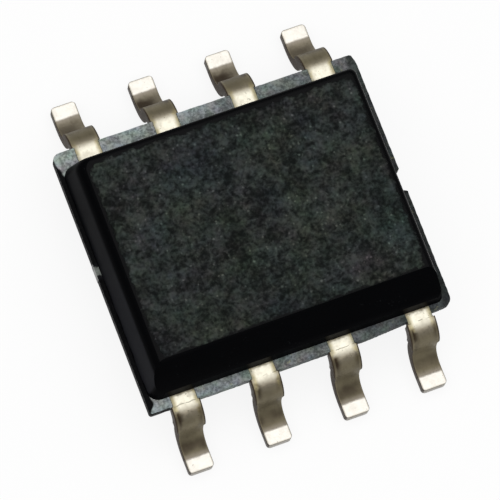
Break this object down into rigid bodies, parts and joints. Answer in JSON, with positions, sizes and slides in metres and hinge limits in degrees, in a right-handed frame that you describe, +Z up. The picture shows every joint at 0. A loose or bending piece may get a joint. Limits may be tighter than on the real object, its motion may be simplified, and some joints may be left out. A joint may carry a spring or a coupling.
{
  "type": "small-outline integrated circuit package",
  "caption": "Surface-mount integrated circuit: flat moulded plastic block with gull-wing leads along both long sides.",
  "frame": {"origin": "centre of the seating plane, midway between the two rows of feet and between the ends of the moulding's rim", "axes": "+X along the rows of leads from the pin 1 end to the pin 4 end, +Y across from the pin 1 row to the pin 8 row, +Z up out of the board"},
  "size_m": [0.005, 0.006, 0.0016],
  "materials": {
    "mould_compound": "matte grained top, glossy drafted walls, pale dusty flash rim",
    "tinned_lead": "satin matte tin plate over copper alloy",
    "leadframe_copper": "bare stamped copper alloy, sealed inside",
    "die_adhesive": "cured silver-filled epoxy, sealed inside",
    "silicon": "passivated silicon, sealed inside",
    "gold_wire": "drawn gold wire, sealed inside"
  },
  "bodies": {
    "root": {"mould_body": "mould_compound", "lead_1": "tinned_lead", "lead_2": "tinned_lead", "lead_3": "tinned_lead", "lead_4": "tinned_lead", "lead_5": "tinned_lead", "lead_6": "tinned_lead", "lead_7": "tinned_lead", "lead_8": "tinned_lead", "die_pad": "leadframe_copper", "die_attach": "die_adhesive", "silicon_die": "silicon", "bond_wire_1": "gold_wire", "bond_wire_2": "gold_wire", "bond_wire_3": "gold_wire", "bond_wire_4": "gold_wire", "bond_wire_5": "gold_wire", "bond_wire_6": "gold_wire", "bond_wire_7": "gold_wire", "bond_wire_8": "gold_wire"}
  },
  "joints": []
}
